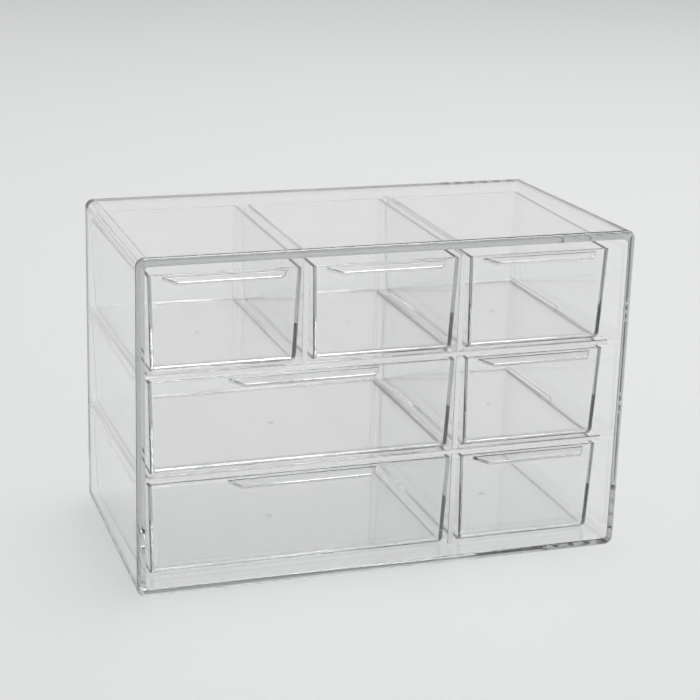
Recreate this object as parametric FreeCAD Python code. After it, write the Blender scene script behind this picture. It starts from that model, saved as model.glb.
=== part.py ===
import FreeCAD, Part
import os

# A clear desk organizer with seven drawers. A one-piece moulded cabinet, open at the front, holds a rack
# of two shelves and two upright dividers that half-lap into each other. Three small drawers fill the top
# row, and a wide and a small one fill each of the two rows below. All drawers slide out to the front.
# Millimetres, with X to the right, Y to the back and Z up. The origin is the middle of the base.

# Cabinet
cabinet_width = 180.0
cabinet_depth = 95.0
cabinet_height = 120.0
cabinet_wall = 2.9
cabinet_side_lean = 2.0
cabinet_roof_lean = 1.6
cabinet_edge_radius = 3.0
cabinet_inner_radius = 1.4
cabinet_back_radius = 1.2
cabinet_inner_back_radius = 0.6
mouth_outer_radius = 1.5
mouth_inner_radius = 0.3

# Ribs on the cabinet's side walls that grip the ends of each shelf
rib_thickness = 1.2
rib_reach = 0.7
rib_clearance = 0.15

# Rack of shelves and dividers
rack_setback = 10.0
rack_clearance = 0.2
shelf_thickness = 1.9
divider_thickness = 2.0
divider_rise = 0.6
lap_clearance = 0.15
plate_edge_radius = 0.4

# Drawers
row_count = 3
column_count = 3
headroom = 5.5
drawer_setback = 8.9
drawer_wall = 1.3
drawer_lean = 1.2
drawer_end_radius = 3.2
drawer_side_radius = 0.6
drawer_inner_side_radius = 0.3
drawer_rim_radius = 0.4
drawer_floor_clearance = 0.3
drawer_top_clearance = 0.5
drawer_divider_clearance = 1.0
drawer_rib_clearance = 0.3
drawer_back_clearance = 0.5
gate_diameter = 2.4
gate_depth = 0.3

# Finger lip along the top of each drawer's front
small_lip_share = 0.82
wide_lip_share = 0.495
lip_reach = 6.2
lip_end_run = 3.9
lip_thickness = 1.3
lip_step = 0.7
lip_droop = 0.3
lip_corner_radius = 1.5
lip_edge_radius = 0.4

# Construction values
overrun = 1.0
near = 0.001

# Levels along the depth
mouth = -cabinet_depth / 2
back = cabinet_depth / 2
inside_back = back - cabinet_wall
rack_front = mouth + rack_setback
rack_back = inside_back - rack_clearance
lap_line = (rack_front + rack_back) / 2
drawer_front = mouth + drawer_setback
drawer_back = inside_back - drawer_back_clearance


def depth_share(y):
    """Where depth y lies on the way from the mouth to the back, as a share of the cabinet's depth."""
    return (y - mouth) / cabinet_depth


def half_inside(y):
    """Half of the clear width between the cabinet's side walls, which lean in towards the back."""
    return cabinet_width / 2 - cabinet_wall - cabinet_side_lean * depth_share(y)


# Levels up the height, one set for each row from the bottom
row_gaps = row_count * drawer_floor_clearance
shelf_gaps = (row_count - 1) * (drawer_top_clearance + shelf_thickness)
stack_height = cabinet_height - 2 * cabinet_wall - headroom
drawer_height = (stack_height - row_gaps - shelf_gaps) / row_count
row_pitch = drawer_floor_clearance + drawer_height + drawer_top_clearance + shelf_thickness
row_floors = [cabinet_wall + row * row_pitch for row in range(row_count)]
shelf_tops = row_floors[1:]
rack_top = row_floors[-1] + drawer_floor_clearance + drawer_height + divider_rise

# Places across the width, from the clear width between the ribs behind the drawers
cell_gap = divider_thickness + 2 * drawer_divider_clearance
drawers_half = half_inside(drawer_back) - rib_reach - drawer_rib_clearance
small_width = (2 * drawers_half - (column_count - 1) * cell_gap) / column_count
wide_width = 2 * small_width + cell_gap
column_pitch = small_width + cell_gap
divider_place = column_pitch / 2
wide_place = -column_pitch / 2


def point(x, y, z):
    return FreeCAD.Vector(x, y, z)


def flat_face(corners):
    """Flat face with straight sides through the corners."""
    return Part.Face(Part.makePolygon(corners + corners[:1]))


def crossed(first, first_sweep, second, second_sweep):
    """Solid that has one outline seen from one side and another outline seen from the next side."""
    return flat_face(first).extrude(first_sweep).common(flat_face(second).extrude(second_sweep))


def edges_at(shape, axis, value):
    """Edges that lie wholly at one coordinate, with axis one of X, Y and Z."""
    return [edge for edge in shape.Edges
            if all(abs(getattr(vertex, axis) - value) < near for vertex in edge.Vertexes)]


def is_upright(edge):
    """Whether an edge stands straight up."""
    first, last = edge.Vertexes[0], edge.Vertexes[-1]
    return abs(first.X - last.X) < near and abs(first.Y - last.Y) < near


def runs_across(edge):
    """Whether an edge runs along the width."""
    first, last = edge.Vertexes[0], edge.Vertexes[-1]
    return abs(first.Y - last.Y) < near and abs(first.Z - last.Z) < near


def cabinet_block(front, rear, inset, edge_radius):
    """The cabinet's drafted form between two depths, set in from its outer faces, with round long edges."""
    halves = [half_inside(y) + cabinet_wall - inset for y in (front, rear)]
    tops = [cabinet_height - inset - cabinet_roof_lean * depth_share(y) for y in (front, rear)]
    plan = [point(-halves[0], front, 0), point(halves[0], front, 0),
            point(halves[1], rear, 0), point(-halves[1], rear, 0)]
    side = [point(-halves[0], front, inset), point(-halves[0], rear, inset),
            point(-halves[0], rear, tops[1]), point(-halves[0], front, tops[0])]
    block = crossed(plan, point(0, 0, cabinet_height + overrun), side, point(2 * halves[0], 0, 0))
    long_edges = [edge for edge in block.Edges if abs(edge.Vertexes[0].Y - edge.Vertexes[-1].Y) > near]
    return block.makeFillet(edge_radius, long_edges)


def cabinet_outside():
    """The outer form: a softly rounded back and a rounded outer edge at the mouth. Its base is level."""
    block = cabinet_block(mouth, back, 0, cabinet_edge_radius)
    block = block.makeFillet(cabinet_back_radius, edges_at(block, "Y", back))
    return block.makeFillet(mouth_outer_radius, edges_at(block, "Y", mouth))


def cabinet_inside():
    """The hollow, one wall inside the outer faces and run out past the mouth."""
    hollow = cabinet_block(mouth - overrun, inside_back, cabinet_wall, cabinet_inner_radius)
    return hollow.makeFillet(cabinet_inner_back_radius, edges_at(hollow, "Y", inside_back))


def opens_the_mouth(edge):
    """Whether an edge at the mouth belongs to the opening and not to the outer rim."""
    ceiling = cabinet_height - cabinet_wall
    return all(abs(vertex.X) < half_inside(mouth) + near and cabinet_wall - near < vertex.Z < ceiling + near
               for vertex in edge.Vertexes)


def shelf_rib(side, bottom):
    """One rib on a side wall, from the lap line into the back wall, following the wall's lean."""
    top = bottom + rib_thickness
    sections = []
    for y in (lap_line, inside_back + cabinet_wall / 2):
        inner = side * (half_inside(y) - rib_reach)
        outer = side * (half_inside(y) + cabinet_wall / 2)
        corners = [point(x, y, z) for x, z in ((inner, bottom), (outer, bottom), (outer, top), (inner, top))]
        sections.append(Part.makePolygon(corners + corners[:1]))
    return Part.makeLoft(sections, True, True)


def cabinet_shell():
    """The one-piece cabinet: outside less hollow, a rounded rim at the mouth, and ribs for the shelves."""
    shell = cabinet_outside().cut(cabinet_inside())
    opening = [edge for edge in edges_at(shell, "Y", mouth) if opens_the_mouth(edge)]
    shell = shell.makeFillet(mouth_inner_radius, opening)
    ribs = []
    for shelf_top in shelf_tops:
        above = shelf_top + rib_clearance
        below = shelf_top - shelf_thickness - rib_clearance - rib_thickness
        ribs += [shelf_rib(side, bottom) for side in (-1, 1) for bottom in (above, below)]
    return shell.fuse(ribs)


def shelf(shelf_top, slots):
    """A plate that follows the cabinet's lean, slotted for dividers from its back edge to the lap line."""
    underside = shelf_top - shelf_thickness
    corners = []
    for y, side in ((rack_front, -1), (rack_front, 1), (rack_back, 1), (rack_back, -1)):
        corners.append(point(side * (half_inside(y) - rack_clearance), y, underside))
    plate = flat_face(corners).extrude(point(0, 0, shelf_thickness))
    plate = plate.makeFillet(plate_edge_radius, edges_at(plate, "Y", rack_front))
    slot_width = divider_thickness + 2 * lap_clearance
    slot_length = rack_back - lap_line + lap_clearance + overrun
    slot_height = shelf_thickness + 2 * overrun
    for place in slots:
        corner = point(place - slot_width / 2, lap_line - lap_clearance, underside - overrun)
        plate = plate.cut(Part.makeBox(slot_width, slot_length, slot_height, corner))
    return plate


def divider(place, bottom, laps):
    """An upright plate, slotted from its front edge to the lap line at each shelf that it crosses."""
    corner = point(place - divider_thickness / 2, rack_front, bottom)
    plate = Part.makeBox(divider_thickness, rack_back - rack_front, rack_top - bottom, corner)
    uprights = [edge for edge in edges_at(plate, "Y", rack_front) if is_upright(edge)]
    plate = plate.makeFillet(plate_edge_radius, uprights)
    slot_width = divider_thickness + 2 * overrun
    slot_length = lap_line - rack_front + lap_clearance + overrun
    slot_height = shelf_thickness + 2 * lap_clearance
    for shelf_top in laps:
        slot_bottom = shelf_top - shelf_thickness - lap_clearance
        corner = point(place - slot_width / 2, rack_front - overrun, slot_bottom)
        plate = plate.cut(Part.makeBox(slot_width, slot_length, slot_height, corner))
    return plate


def drawer_block(place, width, bottom, inset, top, end_radius, side_radius):
    """A drawer's drafted form up to a top level, set in from its outer faces, with walls that lean out.
    Its lower front and back edges are rolled, and then the edges along both of its sides."""
    floor = bottom + inset
    steps = [inset + drawer_lean * (1 - (z - bottom) / drawer_height) for z in (floor, top)]
    left, right = place - width / 2, place + width / 2
    face = [point(left + steps[0], drawer_front, floor), point(right - steps[0], drawer_front, floor),
            point(right - steps[1], drawer_front, top), point(left + steps[1], drawer_front, top)]
    side = [point(left, drawer_front + steps[0], floor), point(left, drawer_back - steps[0], floor),
            point(left, drawer_back - steps[1], top), point(left, drawer_front + steps[1], top)]
    block = crossed(face, point(0, drawer_back - drawer_front, 0), side, point(width, 0, 0))
    ends = [edge for edge in edges_at(block, "Z", floor) if runs_across(edge)]
    block = block.makeFillet(end_radius, ends)
    rim = edges_at(block, "Z", top)
    sides = [edge for edge in block.Edges if not runs_across(edge) and not any(edge.isSame(r) for r in rim)]
    return block.makeFillet(side_radius, sides)


def finger_lip(place, lip_width, bottom):
    """A thin ledge just below the rim of the drawer's front. It narrows and droops towards its tip."""
    root = drawer_front + drawer_wall / 2
    tip = drawer_front - lip_reach
    half = lip_width / 2
    tip_half = half - lip_end_run
    top = bottom + drawer_height - lip_step
    upper = [point(place - half, root, top), point(place - half, tip, top - lip_droop)]
    lower = [corner - point(0, 0, lip_thickness) for corner in reversed(upper)]
    ledge = flat_face(upper + lower).extrude(point(lip_width, 0, 0))
    right = [(half, root), (half, drawer_front), (tip_half, tip)]
    plan = right + [(-x, y) for x, y in reversed(right)]
    outline = flat_face([point(place + x, y, bottom) for x, y in plan])
    ledge = ledge.common(outline.extrude(point(0, 0, drawer_height)))
    tips = [edge for edge in edges_at(ledge, "Y", tip) if is_upright(edge)]
    ledge = ledge.makeFillet(lip_corner_radius, tips)
    buried = [edge.hashCode() for edge in edges_at(ledge, "Y", root)]
    free = [edge for edge in ledge.Edges if not is_upright(edge) and edge.hashCode() not in buried]
    return ledge.makeFillet(lip_edge_radius, free)


def drawer(place, width, lip_share, row):
    """One moulded drawer: a bin with a softened rim, a finger lip on its front and the dimple that the
    moulding gate left in the middle of its underside."""
    bottom = row_floors[row] + drawer_floor_clearance
    top = bottom + drawer_height
    outside = drawer_block(place, width, bottom, 0, top, drawer_end_radius, drawer_side_radius)
    inner_end_radius = drawer_end_radius - drawer_wall
    inside = drawer_block(place, width, bottom, drawer_wall, top + overrun, inner_end_radius,
                          drawer_inner_side_radius)
    walls = outside.fuse(finger_lip(place, lip_share * width, bottom)).cut(inside)
    walls = walls.makeFillet(drawer_rim_radius, edges_at(walls, "Z", top))
    gate_place = point(place, (drawer_front + drawer_back) / 2, bottom - overrun)
    return walls.cut(Part.makeCylinder(gate_diameter / 2, gate_depth + overrun, gate_place))


pieces = {
    "cabinet_shell": cabinet_shell(),
    "lower_shelf": shelf(shelf_tops[0], [divider_place]),
    "upper_shelf": shelf(shelf_tops[1], [-divider_place, divider_place]),
    "long_divider": divider(divider_place, cabinet_wall + rack_clearance, shelf_tops),
    "short_divider": divider(-divider_place, shelf_tops[1] - shelf_thickness, shelf_tops[1:]),
    "top_left_drawer": drawer(-column_pitch, small_width, small_lip_share, 2),
    "top_middle_drawer": drawer(0, small_width, small_lip_share, 2),
    "top_right_drawer": drawer(column_pitch, small_width, small_lip_share, 2),
    "middle_wide_drawer": drawer(wide_place, wide_width, wide_lip_share, 1),
    "middle_right_drawer": drawer(column_pitch, small_width, small_lip_share, 1),
    "bottom_wide_drawer": drawer(wide_place, wide_width, wide_lip_share, 0),
    "bottom_right_drawer": drawer(column_pitch, small_width, small_lip_share, 0),
}
os.makedirs("parts", exist_ok=True)
for name, shape in pieces.items():
    print(name, "valid", shape.isValid(), "solids", len(shape.Solids), "volume", round(shape.Volume, 1))
    shape.exportStep("parts/" + name + ".step")
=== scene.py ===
import bpy
from mathutils import Matrix, Vector

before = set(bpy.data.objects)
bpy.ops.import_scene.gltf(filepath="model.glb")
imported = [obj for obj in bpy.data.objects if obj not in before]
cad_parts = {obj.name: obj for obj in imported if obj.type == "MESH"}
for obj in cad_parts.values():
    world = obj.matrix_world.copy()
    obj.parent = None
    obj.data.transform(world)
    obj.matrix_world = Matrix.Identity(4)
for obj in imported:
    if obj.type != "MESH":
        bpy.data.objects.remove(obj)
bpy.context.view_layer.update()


# Cabinet shell
# A one-piece box of clear polystyrene, moulded with its mouth to the front and drafted towards the back.
# It stands on its flat base and carries the rack on ribs inside its side walls.
def clear_plastic(name, refraction, ripple, ripple_height, haze, greying):
    """Clear moulded plastic. Slow noise about a ripple wide, stretched along the depth, bends its surface by
    ripple_height, as melt that flowed into the mould leaves it, and patches of wiped-on haze raise its
    roughness from none. Long ways through it grey the light, so that its edges show as dark lines.
    Rays towards lamps and rays off matt surfaces pass straight through, so that it shades like clear plastic."""
    material = bpy.data.materials.new(name)
    material.use_nodes = True
    nodes = material.node_tree.nodes
    link = material.node_tree.links.new
    plastic = nodes["Principled BSDF"]
    plastic.inputs["Base Color"].default_value = (0.985, 0.986, 0.985, 1)
    plastic.inputs["Transmission Weight"].default_value = 1
    plastic.inputs["IOR"].default_value = refraction
    place = nodes.new("ShaderNodeTexCoord")
    flow = nodes.new("ShaderNodeMapping")
    flow.inputs["Scale"].default_value = (1, 0.4, 1)
    link(place.outputs["Object"], flow.inputs["Vector"])
    waves = nodes.new("ShaderNodeTexNoise")
    waves.inputs["Scale"].default_value = 1 / ripple
    waves.inputs["Detail"].default_value = 1
    link(flow.outputs["Vector"], waves.inputs["Vector"])
    surface = nodes.new("ShaderNodeBump")
    surface.inputs["Distance"].default_value = ripple_height
    link(waves.outputs["Fac"], surface.inputs["Height"])
    link(surface.outputs["Normal"], plastic.inputs["Normal"])
    wiped = nodes.new("ShaderNodeTexNoise")
    wiped.inputs["Scale"].default_value = 45
    wiped.inputs["Detail"].default_value = 4
    link(place.outputs["Object"], wiped.inputs["Vector"])
    dullness = nodes.new("ShaderNodeMapRange")
    dullness.inputs["From Min"].default_value = 0.45
    dullness.inputs["From Max"].default_value = 0.8
    dullness.inputs["To Min"].default_value = 0
    dullness.inputs["To Max"].default_value = haze
    link(wiped.outputs["Fac"], dullness.inputs["Value"])
    link(dullness.outputs["Result"], plastic.inputs["Roughness"])
    path = nodes.new("ShaderNodeLightPath")
    passing = nodes.new("ShaderNodeMath")
    passing.operation = "MAXIMUM"
    link(path.outputs["Is Shadow Ray"], passing.inputs[0])
    link(path.outputs["Is Diffuse Ray"], passing.inputs[1])
    straight = nodes.new("ShaderNodeBsdfTransparent")
    straight.inputs["Color"].default_value = (0.987, 0.988, 0.987, 1)
    either = nodes.new("ShaderNodeMixShader")
    link(passing.outputs["Value"], either.inputs["Fac"])
    link(plastic.outputs["BSDF"], either.inputs[1])
    link(straight.outputs["BSDF"], either.inputs[2])
    link(either.outputs["Shader"], nodes["Material Output"].inputs["Surface"])
    inside = nodes.new("ShaderNodeVolumeAbsorption")
    inside.inputs["Color"].default_value = (0.5, 0.52, 0.52, 1)
    inside.inputs["Density"].default_value = greying
    link(inside.outputs["Volume"], nodes["Material Output"].inputs["Volume"])
    return material


def finish_node(name, material):
    """Gives a solid its plastic."""
    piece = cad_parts[name]
    piece.data.materials.clear()
    piece.data.materials.append(material)


cabinet_plastic = clear_plastic("cabinet_plastic", refraction=1.56, ripple=0.03, ripple_height=0.000002,
                                haze=0.03, greying=9)
finish_node("cabinet_shell", cabinet_plastic)

# Rack
# Two shelves and two upright dividers cut from flat clear plates, half-lapped into each other and slid in
# from the mouth until the ribs grip the ends of the shelves.
rack_plastic = clear_plastic("rack_plastic", refraction=1.52, ripple=0.06, ripple_height=0.000004,
                             haze=0.03, greying=1.5)
for plate in ("lower_shelf", "upper_shelf", "long_divider", "short_divider"):
    finish_node(plate, rack_plastic)

# Drawers
# Seven thin-walled bins moulded from clear plastic, each in one piece with its finger lip. They stand on the
# shelves and on the cabinet's floor, and slide out to the front. Their plastic greys light the most, which
# draws the thin dark lines of their edges.
drawer_plastic = clear_plastic("drawer_plastic", refraction=1.56, ripple=0.022, ripple_height=0.000004,
                               haze=0.035, greying=14)
drawers = [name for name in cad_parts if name.endswith("_drawer")]
for drawer in drawers:
    finish_node(drawer, drawer_plastic)

# Studio
# A plain pale floor, a hair below the base, under one wide soft lamp. The room around it is pale, and darker
# overhead, so that bright and dark lines both show in the clear edges.
floor_half = 4.0
floor_level = -0.0001
corners = [(-floor_half, -floor_half, floor_level), (floor_half, -floor_half, floor_level),
           (floor_half, floor_half, floor_level), (-floor_half, floor_half, floor_level)]
floor_mesh = bpy.data.meshes.new("floor")
floor_mesh.from_pydata(corners, [], [(0, 1, 2, 3)])
floor = bpy.data.objects.new("floor", floor_mesh)
bpy.context.scene.collection.objects.link(floor)
floor_paint = bpy.data.materials.new("floor_paint")
floor_paint.use_nodes = True
floor_shader = floor_paint.node_tree.nodes["Principled BSDF"]
floor_shader.inputs["Base Color"].default_value = (0.80, 0.81, 0.81, 1)
floor_shader.inputs["Roughness"].default_value = 0.6
floor_mesh.materials.append(floor_paint)

world = bpy.data.worlds.new("room")
world.use_nodes = True
bpy.context.scene.world = world
room_nodes = world.node_tree.nodes
room_link = world.node_tree.links.new
direction = room_nodes.new("ShaderNodeTexCoord")
height = room_nodes.new("ShaderNodeSeparateXYZ")
room_link(direction.outputs["Generated"], height.inputs["Vector"])
shade = room_nodes.new("ShaderNodeValToRGB")
low_tone = (0.76, 0.76, 0.76, 1)
high_tone = (0.14, 0.14, 0.14, 1)
pale_up_to = 0.36
dark_from = 0.5
shade.color_ramp.elements[0].color = low_tone
shade.color_ramp.elements[-1].color = high_tone
shade.color_ramp.elements.new(pale_up_to).color = low_tone
shade.color_ramp.elements.new(dark_from).color = high_tone
room_link(height.outputs["Z"], shade.inputs["Fac"])
room_link(shade.outputs["Color"], room_nodes["Background"].inputs["Color"])

lamp_place = Vector((0.5, 0.35, 2.4))
lamp_target = Vector((0, 0.1, 0))
lamp_data = bpy.data.lights.new("overhead_lamp", "AREA")
lamp_data.size = 1.4
lamp_data.energy = 49
lamp = bpy.data.objects.new("overhead_lamp", lamp_data)
lamp.location = lamp_place
lamp.rotation_euler = (lamp_target - lamp_place).to_track_quat("-Z", "Y").to_euler()
bpy.context.scene.collection.objects.link(lamp)

# Camera
# The photograph's viewpoint: to the left of the front and above it, at a long focal length.
camera_place = Vector((-0.21825, -0.62549, 0.27766))
camera_right = Vector((0.94638, -0.32179, 0.02851))
camera_up = Vector((0.07147, 0.2946, 0.95294))
camera_back = -Vector((0.31505, 0.89981, -0.3018))
camera_data = bpy.data.cameras.new("camera")
camera_data.sensor_width = 36
camera_data.lens = 96.94
camera = bpy.data.objects.new("camera", camera_data)
turn = Matrix((camera_right, camera_up, camera_back)).transposed().to_4x4()
camera.matrix_world = Matrix.Translation(camera_place) @ turn
bpy.context.scene.collection.objects.link(camera)
bpy.context.scene.camera = camera

bpy.context.scene.view_settings.view_transform = "Standard"

# Light that is guided inside the walls turns many times before it leaves them.
bpy.context.scene.cycles.max_bounces = 64
bpy.context.scene.cycles.transmission_bounces = 48
bpy.context.scene.cycles.transparent_max_bounces = 48
bpy.context.scene.cycles.glossy_bounces = 64
